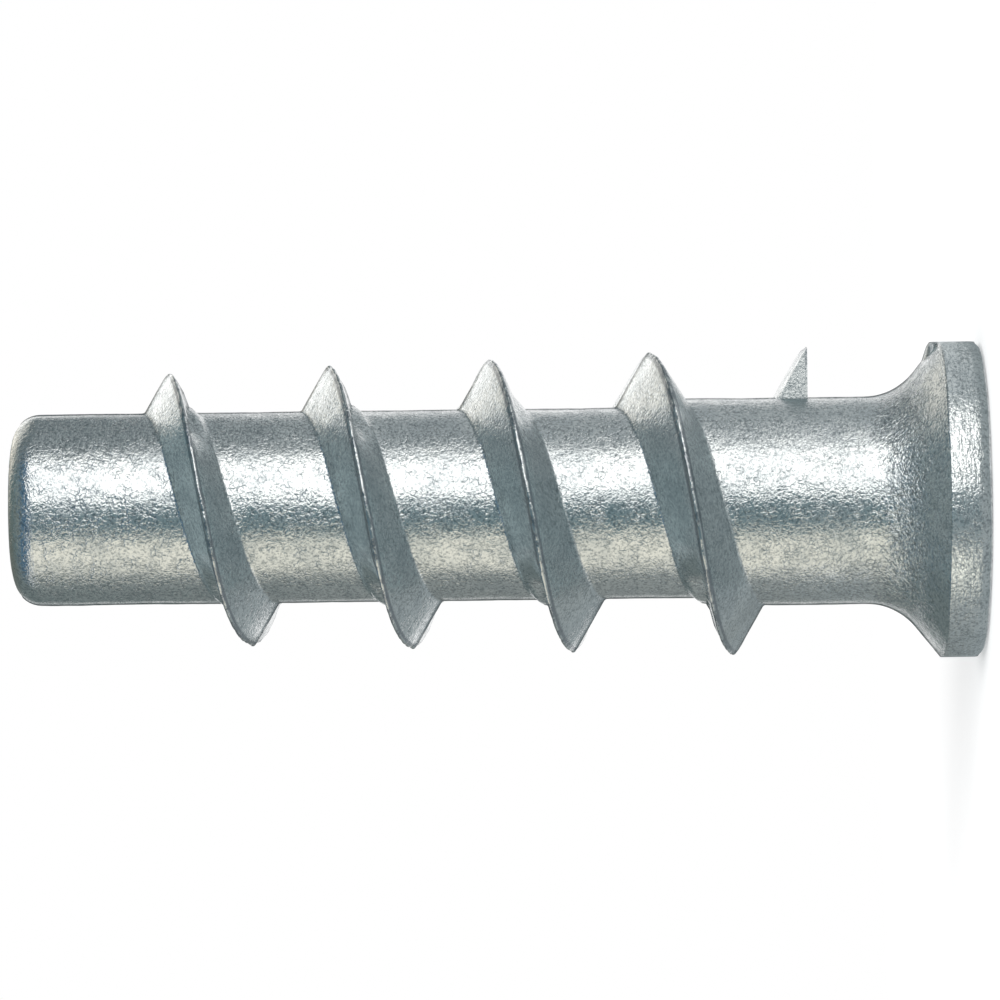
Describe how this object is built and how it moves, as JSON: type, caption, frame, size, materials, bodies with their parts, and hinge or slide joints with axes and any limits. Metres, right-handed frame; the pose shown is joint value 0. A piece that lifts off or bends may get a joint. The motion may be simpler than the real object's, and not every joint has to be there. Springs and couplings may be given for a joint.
{
  "type": "aerated concrete anchor",
  "caption": "Screw-in metal anchor for aerated concrete: flared disc head, coarse outer thread, and a metric internal thread behind a hexagon socket.",
  "frame": {"origin": "centre of the head's flat face, on the anchor's axis", "axes": "+Z along the anchor's axis from the head to the pilot; the thread ends in the XZ plane on the +X side"},
  "size_m": [0.0198, 0.0196, 0.0604],
  "materials": {
    "cast_zinc": "zinc die casting, bare and slightly rough, satin grey"
  },
  "bodies": {
    "root": {"anchor": "cast_zinc"}
  },
  "joints": []
}
